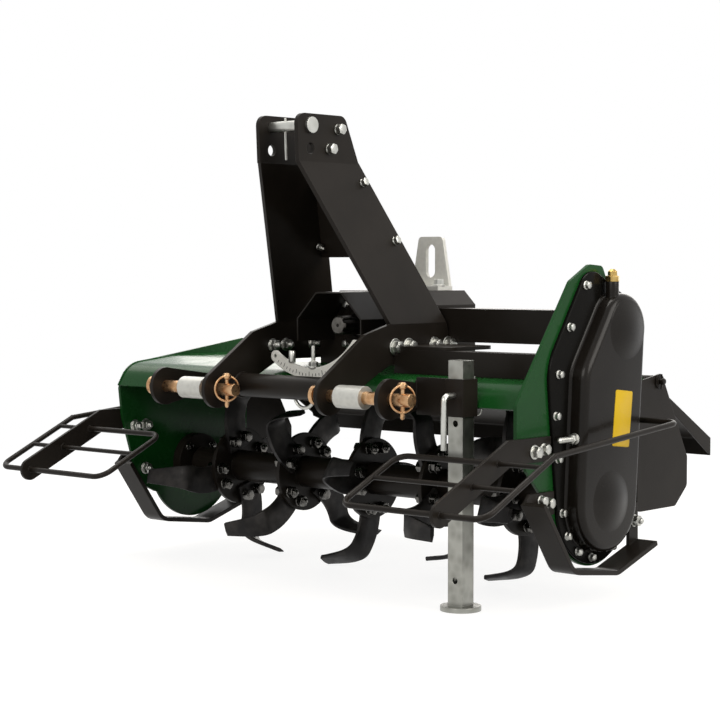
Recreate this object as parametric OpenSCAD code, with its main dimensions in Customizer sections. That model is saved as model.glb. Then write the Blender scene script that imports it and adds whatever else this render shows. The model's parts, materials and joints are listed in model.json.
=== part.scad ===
// Tractor-mounted rotary tiller with a side chain drive.
// Millimetres, +X to the chain case, +Y to the rear, +Z up, floor at z = 0.
// The origin is on the floor, in the middle of the part's length and width.

/* [Overall] */
// Length from the guards' front wires to the tailgate's lip
overall_l = 830; // [760:5:900]
// Clear width between the side panels
panel_gap = 972; // [860:2:1080]
// Rotor axis behind the middle of the length
rotor_y = 17; // [0:1:40]
// Hitch centre line to the chain side of the rotor's middle
hitch_offset = 30; // [0:1:60]

/* [Rotor] */
// Outside diameter of the rotor tube
tube_d = 60; // [50:1:76]
// Diameter of the journals in the end bearings
journal_d = 40; // [30:1:48]
// Number of tine flanges
flange_n = 5; // [3:1:5]
// Distance from flange to flange
flange_pitch = 175; // [160:1:184]
// Diameter of a tine flange
flange_d = 150; // [130:1:160]
// Thickness of a tine flange
flange_t = 8; // [6:1:12]
// Tines on each flange
tine_n = 4; // [4:2:6]
// Step in which the flanges are turned against each other
tine_step = 18; // [10:1:24]
// Thickness of a tine
tine_t = 8; // [6:1:10]
// Width of a tine
tine_w = 52; // [44:1:56]
// Radius of the bolt row where a tine's arc begins
tine_seat_r = 56; // [50:1:60]
// Radius of the arc that sweeps a tine back
tine_sweep_r = 111; // [100:1:130]
// Angle of that arc
tine_sweep = 38; // [30:1:42]
// Radius of the bend between shank and blade, at mid thickness
tine_bend_r = 24; // [16:1:32]
// Angle of that bend
tine_bend = 80; // [65:1:90]
// Length of the flat blade beyond the bend
blade_l = 64; // [40:1:72]

/* [Housing] */
// Sheet thickness of the deck
sheet_t = 4; // [3:0.5:6]
// Height of the deck's top face
deck_z = 386; // [380:1:400]
// Height of the deck's front lip
lip_z = 333; // [310:1:350]
// Front lip ahead of the rotor axis
lip_reach = 200; // [195:1:215]
// Run of the sloped front wall
front_run = 25; // [15:1:40]
// Drop of the deck's front bend below its level top
deck_drop = 12; // [4:1:20]
// Start of the level top ahead of the rotor axis
deck_level = 60; // [58:1:80]
// Rear bend of the deck behind the rotor axis
deck_rear = 103; // [80:1:120]
// Thickness of the side panels
panel_t = 6; // [4:0.5:8]
// Front edge of the side panels ahead of the rotor axis
panel_front = 213; // [205:1:225]
// Rear edge of the side panels behind the rotor axis
panel_rear = 153; // [145:1:165]
// Top of the chain-side panel above the rotor axis
panel_top = 397; // [385:1:420]
// Top of the other panel above the rotor axis
panel_low_top = 247; // [235:1:260]
// Radius of the panels' round bottom about the rotor axis
panel_foot_r = 112; // [108:1:118]
// Thickness of the rear wing plates
wing_t = 3; // [2:0.5:5]
// Sheet thickness of the tailgate
gate_t = 3; // [2:0.5:4]
// Tailgate hinge behind the rotor axis
hinge_reach = 200; // [196:1:212]
// Tailgate hinge below the deck's top face
hinge_drop = 24; // [18:1:30]
// Diameter of the hinge rod
hinge_d = 12; // [10:1:16]
// Slope of the tailgate below level
gate_slope = 30; // [25:1:36]
// Depth of the tailgate's flanges and lip
gate_flange = 32; // [24:1:40]

/* [Drive] */
// Distance between the chain case's two shafts
chain_span = 288; // [270:1:310]
// Upper shaft behind the rotor axis
chain_lean = 47; // [46:1:56]
// Depth of the chain case's cover
case_depth = 38; // [30:1:60]
// Width of the square drive tube
drive_w = 60; // [50:1:64]
// Wall of the drive tube
drive_wall = 6; // [4:0.5:8]
// Width of the gearbox
box_w = 220; // [200:2:240]
// Length of the gearbox
box_l = 185; // [165:1:200]
// Gearbox front face ahead of the rotor axis
box_front = 57; // [50:1:64]
// Top of the gearbox above the deck
box_h = 134; // [124:1:144]
// Wall of the gearbox casting, open at the bottom where it sits on the deck
box_wall = 14; // [10:1:18]
// Diameter of the input shaft over its splines
pto_d = 35; // [34:0.5:36]
// Length of the input shaft ahead of the gearbox
pto_l = 74; // [60:1:80]

/* [Hitch] */
// Height of the lower hitch pins
hitch_z = 347; // [340:1:355]
// Lower hitch pins ahead of the rotor axis
hitch_reach = 302; // [295:1:315]
// Upper hitch hole above the lower pins
mast_h = 460; // [440:5:480]
// Lower free hole below the upper hole
hole_drop = 40; // [36:1:48]
// Upper hitch holes behind the lower pins
mast_set = 47; // [35:1:60]
// Diameter of the upper hitch pin
top_pin_d = 19; // [19:0.5:22]
// Diameter of the lower hitch pins
low_pin_d = 22; // [20:0.5:25]
// Thickness of the hitch plates
plate_t = 8; // [6:1:10]
// Middle of a mast head plate from the hitch centre
head_x = 46; // [40:1:52]
// Drop of the mast legs
leg_drop = 280; // [270:1:290]
// Sideways splay of each mast leg
leg_splay = 89; // [80:1:96]
// Rearward sweep of each mast leg
leg_sweep = 137; // [120:1:140]
// Width of a mast leg
leg_w = 154; // [140:1:158]
// Middle of an outer hitch plate from the hitch centre
outer_x = 270; // [255:1:285]
// Radius of the hitch ears
ear_r = 34; // [28:1:36]

/* [Stand] */
// Stand leg to the chain side of the hitch centre
stand_x = 356; // [345:1:370]
// Stand leg ahead of the rotor axis
stand_reach = 222; // [220:1:230]
// Width of the square stand leg
stand_w = 30; // [26:1:36]
// Top of the stand leg
stand_h = 411; // [390:1:430]
// Height of the lock pin
lock_z = 354; // [345:1:360]
// Stroke of the stand leg between its end holes
stand_stroke = 304; // [290:1:308]

/* [Guards and skids] */
// Diameter of the guard wires
wire_d = 10; // [8:1:12]
// Guards' outer wire beyond the side panels
guard_reach = 91; // [80:1:105]
// Guards' inner wire inside the side panels
guard_inset = 202; // [170:1:250]
// Height of the guards' level bar
guard_z = 267; // [258:1:274]
// Slope of the guards' front part
guard_slope = 25; // [20:1:30]
// Length of the guards' sloped part
guard_run = 195; // [185:1:210]
// Rise of the guards' side wires toward the rear
guard_rise = 5; // [0:1:6]
// Width of a skid's sole
skid_w = 46; // [40:1:52]
// Lowest face of the skids
skid_z = 45; // [34:1:54]

/* [Hidden] */
$fn = 64;

// Paint and metal
black_paint = "#1b1c1d";
green_paint = "#0d4a2b";
zinc = "#c9ccd0";
gold_zinc = "#c08a4a";

// Cuts run this far past a face, fits have this play, and plates overlap this much in a joint
overrun = 2;
fit = 0.05;
slide_fit = 0.3;
lap = 2;
wall_gap = 5;
curve_steps = 6;

// Tine tip, its circle and the rotor's height with the lowest tips on the floor
shank_end = [tine_sweep_r * (1 - cos(tine_sweep)), tine_seat_r + tine_sweep_r * sin(tine_sweep)];
tip_rise = (tine_bend_r + tine_t / 2) * sin(tine_bend) + blade_l * cos(tine_bend);
tip_at = shank_end + tip_rise * [sin(tine_sweep), cos(tine_sweep)]
  - tine_w / 2 * [cos(tine_sweep), -sin(tine_sweep)];
tip_r = norm(tip_at);
tip_lag = atan2(tip_at[0], tip_at[1]);
// Steps by which each flange is turned: the ends and the middle stand on the floor, behind and ahead
flange_steps = [0, 2, 4, 1, 0];
function tine_turn(k, j) = (flange_steps[k] + 1 / 2) * tine_step + j * 360 / tine_n;
low_share = max([for (k = [0:flange_n - 1], j = [0:tine_n - 1]) cos(tine_turn(k, j))]);
rotor_z = tip_r * low_share;
shank_root = 20;
// From this flange on, the tines bend to the other side
tine_swap = 3;
blade_taper_share = 0.5;

// Faces and lines that several pieces share
panel_in = panel_gap / 2;
panel_out = panel_in + panel_t;
lip_y = rotor_y - lip_reach;
bend_y = lip_y + front_run;
bend_z = deck_z - deck_drop;
level_y = rotor_y - deck_level;
deck_end_y = rotor_y + hinge_reach - hinge_d - wall_gap;
hinge_y = rotor_y + hinge_reach;
hinge_z = deck_z - hinge_drop;
upper_y = rotor_y + chain_lean;
upper_z = rotor_z + chain_span;
box_y = rotor_y - box_front;
hitch_y = rotor_y - hitch_reach;
front_y = -overall_l / 2;
rear_y = overall_l / 2;
deck_bend_r = 28;
tilt = atan(leg_splay / leg_drop);
sweep = atan(leg_sweep / leg_drop);

// Bearings
bearing_d = 112;
bearing_t = 20;
tube_gap = 8;

// Side panel outlines as shares of their length and height, from the front bottom corner
panel_foot = rotor_z - panel_foot_r;
panel_l = panel_front + panel_rear;
high_shares = [[0.655, 0.995], [0.55, 1], [0.4, 0.945], [0.036, 0.592], [0, 0.552], [0, 0.442],
  [0.077, 0.341], [0.24, 0.218], [0.3, 0.152], [0.863, 0.152], [1, 0.182], [1, 0.6], [0.94, 0.76],
  [0.72, 0.91]];
low_shares = [[1, 1], [0.17, 0.885], [0.085, 0.835], [0.048, 0.75], [0.066, 0.589],
  [0.12, 0.414], [0.17, 0.223], [0.3, 0.16], [0.863, 0.16], [1, 0.26]];
panel_round = 12;

// Rear wings
wing_lap = 20;
wing_round = 10;
wing_l = 142;
wing_h = 240;
wing_top = 14;
wing_shares = [[0.47, 1], [1, 0.36], [1, 0.14], [0.76, 0], [0, 0], [0, 0.95]];

// Tailgate
barrel_wall = 4;
gate_half = panel_in - wall_gap;
gate_round = 8;

// Gearbox casting
box_chamfer = 26;
boss_d = 92;
boss_l = 12;
bore_l = 42;
cap_d = 118;
cap_t = 12;
foot_lug_l = 62;
foot_lug_h = 40;
foot_lug_y = -5;
foot_lug_z = 420;

// Input shaft
spline_n = 6;
spline_w = 8.7;
spline_root_d = 29;
shaft_chamfer = 3;

// Input shield
shield_t = 3;
shield_half = 78;
shield_flat = 31;
shield_shoulder = 48;
shield_over = 60;
shield_l = 98;
shield_drop = 89;

// Arc plate under the input shaft
arc_t = 5;
arc_w = 20;
arc_r = 140;
arc_x = -10;
arc_z = 515;
arc_left = 37;
arc_right = 51;
arc_hole_d = 7;
arc_steps = 24;
arc_reach = 195;

// Beam and shelf on the chain side of the deck
beam_w = 36;
beam_h = 34;
beam_y = -120;
shelf_t = 6;
shelf_out = 262;
shelf_l = 130;
shelf_round = 22;

// Slotted lug
lug_t = 8;
lug_x = 24;
lug_y = 118;
lug_h = 100;
lug_top_half = 28;
lug_foot_half = 46;
lug_slot_w = 22;
lug_slot_h = 62;
lug_slot_z = 55;
lug_foot_l = 34;

// Mast head, web and foot
head_front = 33;
head_rear = 88;
head_above = 20;
neck_drop = 63;
head_round = 18;
hole_fit = 0.3;
pin_z = hitch_z + mast_h;
pin_y = hitch_y + mast_set;
neck_z = pin_z - neck_drop;
neck_y = pin_y - head_front + lap * 2;
foot_z = neck_z - leg_drop;
foot_y = neck_y + leg_sweep;
foot_x = head_x + leg_splay;
foot_tail = 6;
foot_h = 70;
brow_run = 66;
brow_drop = 17;
ear_brow_shares = [-0.6, 0.8];
ear_belly_shares = [0.45, -0.89];
belly_run = 96;
belly_drop = 98;
plate_foot_share = 0.75;
web_t = 5;
web_inset = 18;
web_top = 17;
web_low = 162;
web_gap = 0.5;

// Hitch tube, pins and sleeves
cross_d = 42;
cross_wall = 4;
cross_y = 60;
cross_up = 5;
pin_head_d = 34;
pin_head_t = 8;
pin_l = 215;
pin_lead = 32;
sleeve_d = 39;
sleeve_l = 58;
sleeve_x = 189;
top_head_d = 28;
top_head_t = 6;
top_pin_tail = 26;

// Stand
sleeve_wall = 3.7;
sleeve_low = 319;
sleeve_h = 62;
leg_wall = 3;
foot_d = 68;
foot_t = 8;
lock_d = 10;
lock_reach = 26;
lock_arm = 88;
mid_hole_drop = 46;
web_plate_set = 16;

// Chain case, as round lobes about the shafts and the slack side of the chain
case_flange_t = 6;
case_upper_r = 60;
case_mid_r = 62;
case_lower_r = 86;
case_mid_y = -12;
case_mid_z = 200;
rim_upper_r = 68;
rim_lower_r = 108;
rim_mid_r = 92;
rim_mid_y = -39;
rim_mid_z = 207;
rim_top_r = 40;
rim_top_y = -7;
rim_top_z = 345;
case_edge = 8;
dome_d = 96;
dome_t = 9;
neck_d = 22;
neck_h = 24;
neck_set = -18;
breather_d = 16;
breather_h = 17;
breather_dome = 4;

// Guards
bar_t = 6;
bar_h = 40;
bar_reach = 127;
rung_rear = 35;
rung_mid = 108;
rung_d = 8;
wire_tail = 362;
wire_bend_r = 24;
weld_bead = 0.6;

// Skids
skid_t = 8;
skid_plate_t = 6;
skid_toe_y = -184;
skid_toe_z = 180;
skid_heel_y = -100;
skid_heel_rise = 16;
skid_flat_y = 30;
skid_tail_y = 150;
skid_tail_rise = 38;
skid_bend_r = 40;
skid_relief_r = 113;
skid_tab_front = -97;
skid_tab_z = 196;
skid_tab_run = 17;
skid_shoulder_y = 9;
skid_shoulder_z = 130;
skid_post_y = 122;
skid_post_l = 26;
skid_post_z = 154;
skid_post_foot = 110;

// Geometry helpers

function unit(v) = v / norm(v);
function flip(list) = [for (i = [len(list) - 1:-1:0]) list[i]];

// Points of a round corner of radius r at p, between the neighbours a and b
function corner(p, a, b, r) =
  let (u = unit(a - p), w = unit(b - p), half = acos(u * w) / 2)
  let (c = p + unit(u + w) * r / sin(half), run = r / tan(half))
  let (s = p + u * run - c, e = p + w * run - c)
  let (from = atan2(s[1], s[0]), turn = (atan2(e[1], e[0]) - from + 540) % 360 - 180)
  [for (i = [0:curve_steps]) let (a = from + turn * i / curve_steps) c + r * [cos(a), sin(a)]];

// Open path with its inner corners rounded
function round_path(pts, r) = concat([pts[0]],
  [for (i = [1:len(pts) - 2]) each corner(pts[i], pts[i - 1], pts[i + 1], r)], [pts[len(pts) - 1]]);

// Closed outline with all corners rounded
function round_outline(pts, r) = let (n = len(pts))
  [for (i = [0:n - 1]) each corner(pts[i], pts[(i + n - 1) % n], pts[(i + 1) % n], r)];

function left_of(a, b) = unit([a[1] - b[1], b[0] - a[0]]);

// A path moved to its left by d
function beside(path, d) = let (n = len(path) - 1)
  [for (i = [0:n]) let (p = left_of(path[max(i - 1, 0)], path[max(i, 1)]),
    q = left_of(path[min(i, n - 1)], path[min(i + 1, n)])) path[i] + d * (p + q) / (1 + p * q)];

// Sheet outline on the right of a path, and a band centred on it
function sheet(path, t) = concat(path, flip(beside(path, -t)));
function band(path, w) = concat(beside(path, w / 2), flip(beside(path, -w / 2)));

// Plate across X with an outline in Y and Z, from x over t
module side_plate(x, t) {
  translate([x, 0, 0]) rotate([90, 0, 90]) linear_extrude(t) children();
}

// Plate across Y with an outline in X and Z, from y over t
module front_plate(y, t) {
  translate([0, y + t, 0]) rotate([90, 0, 0]) linear_extrude(t) children();
}

// Round bar along X
module bar_x(x, y, z, d, l) {
  translate([x, y, z]) rotate([0, 90, 0]) cylinder(h = l, d = d);
}

// Round bar along Y
module bar_y(x, y, z, d, l) {
  translate([x, y, z]) rotate([-90, 0, 0]) cylinder(h = l, d = d);
}

// Places children in the hitch's own middle
module at_hitch() {
  translate([hitch_offset, 0, 0]) children();
}

// Round wire in the XY plane through points with square bends of radius r
module flat_wire(pts, d, r) {
  n = len(pts) - 1;
  for (i = [0:n - 1]) {
    dir = unit(pts[i + 1] - pts[i]);
    start = i == 0 ? pts[i] : pts[i] + dir * r;
    end = i == n - 1 ? pts[i + 1] : pts[i + 1] - dir * r;
    translate(start) rotate([0, 90, atan2(dir[1], dir[0])]) cylinder(h = norm(end - start), d = d);
  }
  for (i = [1:n - 1]) {
    u = unit(pts[i] - pts[i - 1]);
    w = unit(pts[i + 1] - pts[i]);
    from = u[0] * w[1] > u[1] * w[0] ? -w : u;
    translate(pts[i] + (w - u) * r) rotate(atan2(from[1], from[0]))
      rotate_extrude(angle = 90) translate([r, 0]) circle(d = d);
  }
}

// Housing

function deck_path() = [[lip_y, lip_z], [bend_y, bend_z], [level_y, deck_z],
  [rotor_y + deck_rear, deck_z], [deck_end_y, hinge_z]];

// Height of the deck's rising front part at y
function deck_front(y) = bend_z + (y - bend_y) * deck_drop / (level_y - bend_y);

module deck() {
  color(green_paint) side_plate(-panel_in, panel_gap)
    polygon(sheet(round_path(deck_path(), deck_bend_r), sheet_t));
}

module panel_outline(shares, top) {
  polygon(round_outline([for (s = shares) [rotor_y - panel_front + s[0] * panel_l,
    panel_foot + s[1] * (rotor_z + top - panel_foot)]], panel_round));
  translate([rotor_y, rotor_z]) circle(r = panel_foot_r);
}

module side_panel_left() {
  color(green_paint) side_plate(-panel_out, panel_t) panel_outline(low_shares, panel_low_top);
}

module side_panel_right() {
  color(green_paint) side_plate(panel_in, panel_t) panel_outline(high_shares, panel_top);
}

module wing(side) {
  front = rotor_y + panel_rear - wing_lap;
  top = hinge_z + wing_top;
  pts = [for (s = wing_shares) [front + s[0] * (wing_l + wing_lap), top + (s[1] - 1) * wing_h]];
  color(black_paint) side_plate(side > 0 ? panel_out : -panel_out - wing_t, wing_t) difference() {
    polygon(round_outline(pts, wing_round));
    translate([hinge_y, hinge_z]) circle(d = hinge_d + 2 * fit);
  }
}

module wing_left() {
  wing(-1);
}

module wing_right() {
  wing(1);
}

module hinge_rod() {
  color(zinc) bar_x(-panel_out - wing_t, hinge_y, hinge_z, hinge_d, (panel_out + wing_t) * 2);
}

module tailgate() {
  barrel_r = hinge_d / 2 + fit + barrel_wall;
  dir = [cos(gate_slope), -sin(gate_slope)];
  run = (rear_y - hinge_y) / dir[0];
  edge = [hinge_y, hinge_z] + dir * run;
  lip = edge - [0, gate_flange];
  path = [[hinge_y, hinge_z], edge, lip];
  side = [[hinge_y, hinge_z] + dir * barrel_r * 2, edge, lip,
    [hinge_y, hinge_z] + dir * barrel_r * 2 - [0, gate_flange / 2]];
  color(black_paint) difference() {
    union() {
      bar_x(-gate_half, hinge_y, hinge_z, barrel_r * 2, gate_half * 2);
      side_plate(-gate_half, gate_half * 2) polygon(sheet(round_path(path, gate_round), gate_t));
      for (x = [-gate_half, gate_half - gate_t])
        side_plate(x, gate_t) polygon(side);
    }
    bar_x(-panel_gap, hinge_y, hinge_z, hinge_d + 2 * fit, panel_gap * 2);
  }
}

// Drive

module drive_tube() {
  start = hitch_offset + box_w / 2;
  bore = drive_w - 2 * drive_wall;
  color(black_paint) difference() {
    translate([start, upper_y - drive_w / 2, upper_z - drive_w / 2])
      cube([panel_in - start, drive_w, drive_w]);
    translate([start - overrun, upper_y - bore / 2, upper_z - bore / 2])
      cube([panel_in - start + 2 * overrun, bore, bore]);
  }
}

module gearbox() {
  half = box_w / 2;
  c = box_chamfer;
  top = deck_z + box_h;
  end = box_y + box_l;
  color(black_paint) at_hitch() difference() {
    union() {
      intersection() {
        front_plate(box_y, box_l) polygon([[-half, deck_z], [half, deck_z], [half, top - c],
          [half - c, top], [c - half, top], [-half, top - c]]);
        side_plate(-half, box_w) polygon([[box_y, deck_z], [end, deck_z], [end, top],
          [box_y + c, top], [box_y, top - c]]);
      }
      bar_y(0, box_y - boss_l, upper_z, boss_d, boss_l + lap);
      bar_x(-half - cap_t, upper_y, upper_z, cap_d, cap_t + lap);
      for (x = [-foot_x + plate_t / 2, half - lap])
        translate([x, foot_lug_y - foot_lug_l / 2, foot_lug_z - foot_lug_h / 2])
          cube([foot_x - plate_t / 2 - half + lap, foot_lug_l, foot_lug_h]);
    }
    bar_y(0, box_y - boss_l - overrun, upper_z, journal_d + 2 * fit, bore_l + overrun);
    translate([box_wall - half, box_y + bore_l, deck_z - overrun])
      cube([box_w - 2 * box_wall, box_l - bore_l - box_wall, box_h - c + overrun]);
  }
}

module pto_shaft() {
  start = box_y - boss_l + bore_l - lap;
  tip = box_y - pto_l;
  face = box_y - boss_l;
  color(zinc) at_hitch() {
    bar_y(0, face, upper_z, journal_d, start - face);
    difference() {
      translate([0, face, upper_z]) rotate([90, 0, 0]) linear_extrude(face - tip) union() {
        circle(d = spline_root_d);
        for (i = [0:spline_n - 1])
          rotate(i * 360 / spline_n) translate([0, -spline_w / 2]) intersection() {
            square([pto_d / 2, spline_w]);
            translate([0, spline_w / 2]) circle(d = pto_d);
          }
      }
      translate([0, tip, upper_z]) rotate([-90, 0, 0]) difference() {
        translate([0, 0, -overrun]) cylinder(h = overrun + shaft_chamfer, d = pto_d * 2);
        cylinder(h = shaft_chamfer, d1 = pto_d - 2 * shaft_chamfer, d2 = pto_d);
      }
    }
  }
}

module pto_shield() {
  top = upper_z + shield_over;
  low = top - shield_drop;
  path = [[-shield_half, low], [-shield_half, top - shield_shoulder], [-shield_flat, top],
    [shield_flat, top], [shield_half, top - shield_shoulder], [shield_half, low]];
  color(black_paint) at_hitch() front_plate(box_y - shield_l, shield_l) polygon(sheet(path, shield_t));
}

// Curved strap with a free round end, held on the chain-side mast foot
module arc_plate() {
  bow = [for (i = [0:arc_steps]) let (a = (arc_left + arc_right) * i / arc_steps - arc_left)
    [arc_x, arc_z] + arc_r * [sin(a), -cos(a)]];
  strap = concat(bow, [[foot_x - plate_t / 2, bow[arc_steps][1]]]);
  cap = [for (i = [1:curve_steps * 2 - 1]) let (a = -arc_left - 90 - 90 * i / curve_steps)
    bow[0] + arc_w / 2 * [cos(a), sin(a)]];
  color(zinc) at_hitch() front_plate(rotor_y - arc_reach, arc_t) difference() {
    polygon(concat(band(strap, arc_w), cap));
    translate(bow[0]) circle(d = arc_hole_d);
  }
}

module deck_beam() {
  start = hitch_offset + foot_x + plate_t / 2;
  end = beam_y + beam_w;
  color(black_paint) side_plate(start, panel_in - start) polygon([[beam_y, deck_front(beam_y) + fit],
    [end, deck_front(end) + fit], [end, deck_z + beam_h], [beam_y, deck_z + beam_h]]);
}

module deck_shelf() {
  inner = foot_x + plate_t / 2;
  color(black_paint) at_hitch() translate([0, beam_y, deck_z + beam_h]) linear_extrude(shelf_t)
    hull() {
      translate([inner, 0]) square([shelf_round, shelf_l]);
      for (y = [shelf_round, shelf_l - shelf_round])
        translate([shelf_out - shelf_round, y]) circle(r = shelf_round);
    }
}

module slotted_lug() {
  base = deck_z + box_h;
  straight = lug_slot_h - lug_slot_w;
  color(zinc) at_hitch() translate([lug_x, 0, base]) {
    front_plate(lug_y, lug_t) difference() {
      polygon(round_path([[-lug_foot_half, 0], [-lug_top_half, lug_h], [lug_top_half, lug_h],
        [lug_foot_half, 0]], lug_t));
      for (z = [lug_slot_z - straight / 2, lug_slot_z + straight / 2])
        translate([0, z]) circle(d = lug_slot_w);
      translate([-lug_slot_w / 2, lug_slot_z - straight / 2]) square([lug_slot_w, straight]);
    }
    translate([-lug_foot_half, lug_y - lug_foot_l, 0])
      cube([lug_foot_half * 2, lug_foot_l + lug_t, lug_t]);
  }
}

// Hitch

// One mast plate: upright head, splayed and swept leg, upright foot with the inner hitch ear
module mast_plate() {
  head = [[pin_y - head_front, pin_z + head_above], [pin_y + head_rear, pin_z + head_above],
    [neck_y + leg_w, neck_z], [neck_y, neck_z]];
  slope = norm([leg_splay, leg_drop]);
  leg = [[neck_y, lap], [neck_y + leg_w, lap], [neck_y + leg_w + leg_sweep, -slope - lap],
    [foot_y, -slope - lap]];
  ear = [hitch_y, hitch_z];
  foot = [[foot_y + leg_w, foot_z], [foot_y + leg_w + foot_tail, foot_z - brow_drop],
    [foot_y + leg_w + foot_tail, foot_z - foot_h], [foot_y, foot_z - foot_h],
    [hitch_y + belly_run, foot_z - belly_drop], ear + ear_r * ear_belly_shares, ear,
    ear + ear_r * ear_brow_shares, [foot_y - brow_run, foot_z - brow_drop], [foot_y, foot_z]];
  difference() {
    union() {
      side_plate(head_x - plate_t / 2, plate_t)
        polygon(concat(corner(head[0], head[3], head[1], head_round),
          corner(head[1], head[0], head[2], head_round), [head[2], head[3]]));
      translate([head_x, 0, neck_z]) rotate([0, -tilt, 0]) side_plate(-plate_t / 2, plate_t) polygon(leg);
      side_plate(foot_x - plate_t / 2, plate_t) union() {
        polygon(foot);
        translate(ear) circle(r = ear_r);
      }
    }
    bar_x(0, pin_y, pin_z, top_pin_d + 2 * hole_fit, foot_x);
    bar_x(0, pin_y, pin_z - hole_drop, top_pin_d + 2 * hole_fit, foot_x);
    bar_x(0, hitch_y, hitch_z, low_pin_d + 2 * fit, foot_x * 2);
  }
}

module mast_left() {
  color(black_paint) at_hitch() mirror([1, 0, 0]) mast_plate();
}

module mast_right() {
  color(black_paint) at_hitch() mast_plate();
}

// Half the clear width between the mast legs at a depth below the neck
function leg_clear(depth) = head_x + leg_splay * depth / leg_drop - plate_t / 2 / cos(tilt);

module mast_web() {
  top_y = neck_y + leg_w - web_inset + leg_sweep * web_top / leg_drop;
  fall = (web_low - web_top) / cos(sweep);
  upper = leg_clear(web_top) - web_gap;
  lower = leg_clear(web_low) - web_gap;
  color(black_paint) at_hitch() translate([0, top_y, neck_z - web_top]) rotate([sweep, 0, 0])
    front_plate(-web_t / 2, web_t) polygon([[-upper, 0], [upper, 0], [lower, -fall], [-lower, -fall]]);
}

module top_pin() {
  start = -head_x - top_pin_tail;
  color(zinc) at_hitch() {
    bar_x(start, pin_y, pin_z, top_pin_d, head_x + plate_t / 2 - start);
    bar_x(head_x + plate_t / 2, pin_y, pin_z, top_head_d, top_head_t);
  }
}

module hitch_tube() {
  half = foot_x - plate_t / 2;
  color(black_paint) at_hitch() difference() {
    bar_x(-half, hitch_y + cross_y, hitch_z + cross_up, cross_d, half * 2);
    bar_x(-half - overrun, hitch_y + cross_y, hitch_z + cross_up, cross_d - 2 * cross_wall,
      (half + overrun) * 2);
  }
}

// Outer hitch plate from its ear back to the deck's sloped front
module outer_plate(x) {
  color(black_paint) at_hitch() difference() {
    side_plate(x - plate_t / 2, plate_t) union() {
      translate([hitch_y, hitch_z]) circle(r = ear_r);
      polygon([[hitch_y, hitch_z - ear_r], [lip_y, lip_z],
        [lip_y, lip_z] + ([bend_y, bend_z] - [lip_y, lip_z]) * plate_foot_share, [hitch_y, hitch_z + ear_r]]);
    }
    bar_x(x - plate_t, hitch_y, hitch_z, low_pin_d + 2 * fit, plate_t * 2);
  }
}

module hitch_plate_left() {
  outer_plate(-outer_x);
}

module hitch_plate_right() {
  outer_plate(outer_x);
}

// Lower hitch pin with its head at x
module low_pin(x) {
  color(gold_zinc) at_hitch() {
    bar_x(x, hitch_y, hitch_z, low_pin_d, pin_l);
    bar_x(x, hitch_y, hitch_z, pin_head_d, pin_head_t);
  }
}

module hitch_pin_left() {
  low_pin(-outer_x - pin_lead);
}

module hitch_pin_right() {
  low_pin(foot_x - pin_lead);
}

module low_sleeve(x) {
  color(zinc) at_hitch() difference() {
    bar_x(x - sleeve_l / 2, hitch_y, hitch_z, sleeve_d, sleeve_l);
    bar_x(x - sleeve_l, hitch_y, hitch_z, low_pin_d + 2 * fit, sleeve_l * 2);
  }
}

module hitch_sleeve_left() {
  low_sleeve(-sleeve_x);
}

module hitch_sleeve_right() {
  low_sleeve(sleeve_x);
}

// Stand

stand_y = rotor_y - stand_reach;
sleeve_in = stand_w + 2 * slide_fit;
sleeve_out = sleeve_in + 2 * sleeve_wall;

// Square post about the stand's axis
module post(w, z, h) {
  translate([hitch_offset + stand_x - w / 2, stand_y - w / 2, z]) cube([w, w, h]);
}

module stand_sleeve() {
  start = outer_x + plate_t / 2;
  color(black_paint) {
    difference() {
      post(sleeve_out, sleeve_low, sleeve_h);
      post(sleeve_in, sleeve_low - overrun, sleeve_h + 2 * overrun);
      bar_y(hitch_offset + stand_x, stand_y - sleeve_out, lock_z, lock_d + 2 * fit, sleeve_out * 2);
    }
    translate([hitch_offset + start, stand_y - web_plate_set, sleeve_low])
      cube([stand_x - sleeve_out / 2 - start, plate_t, sleeve_h]);
  }
}

module stand_leg() {
  color(zinc) {
    difference() {
      post(stand_w, foot_t, stand_h - foot_t);
      post(stand_w - 2 * leg_wall, foot_t + leg_wall, stand_h);
      for (z = [lock_z, lock_z - mid_hole_drop, lock_z - stand_stroke])
        bar_y(hitch_offset + stand_x, stand_y - stand_w, z, lock_d + 2 * hole_fit, stand_w * 2);
    }
    translate([hitch_offset + stand_x, stand_y, 0]) cylinder(h = foot_t, d = foot_d);
  }
}

module stand_pin() {
  x = hitch_offset + stand_x;
  out_y = stand_y - sleeve_out / 2 - lock_reach;
  color(zinc) {
    translate([x, 0, 0]) rotate([90, 0, 90]) flat_wire([[stand_y - sleeve_in / 2, lock_z],
      [out_y, lock_z], [out_y, lock_z - lock_arm]], lock_d, lock_d);
    bar_y(x, stand_y + sleeve_in / 2, lock_z, lock_d, sleeve_wall + lap);
  }
}

// Chain case

module lobe(y, z, r) {
  translate([rotor_y + y, rotor_z + z]) circle(r = r, $fn = 96);
}

module case_outline(inset) {
  hull() {
    lobe(chain_lean, chain_span, case_upper_r - inset);
    lobe(case_mid_y, case_mid_z, case_mid_r - inset);
    lobe(0, 0, case_lower_r - inset);
  }
}

module dome(y, z) {
  r = dome_d / 2;
  big = (r * r + dome_t * dome_t) / (2 * dome_t);
  open = asin(r / big);
  arc = [for (i = [1:curve_steps]) let (a = open * i / curve_steps)
    [big * sin(a), dome_t - big * (1 - cos(a))]];
  translate([panel_out + case_depth, rotor_y + y, rotor_z + z]) rotate([0, 90, 0]) rotate_extrude()
    polygon(concat([[0, -lap], [0, dome_t]], arc, [[r, -lap]]));
}

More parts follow.
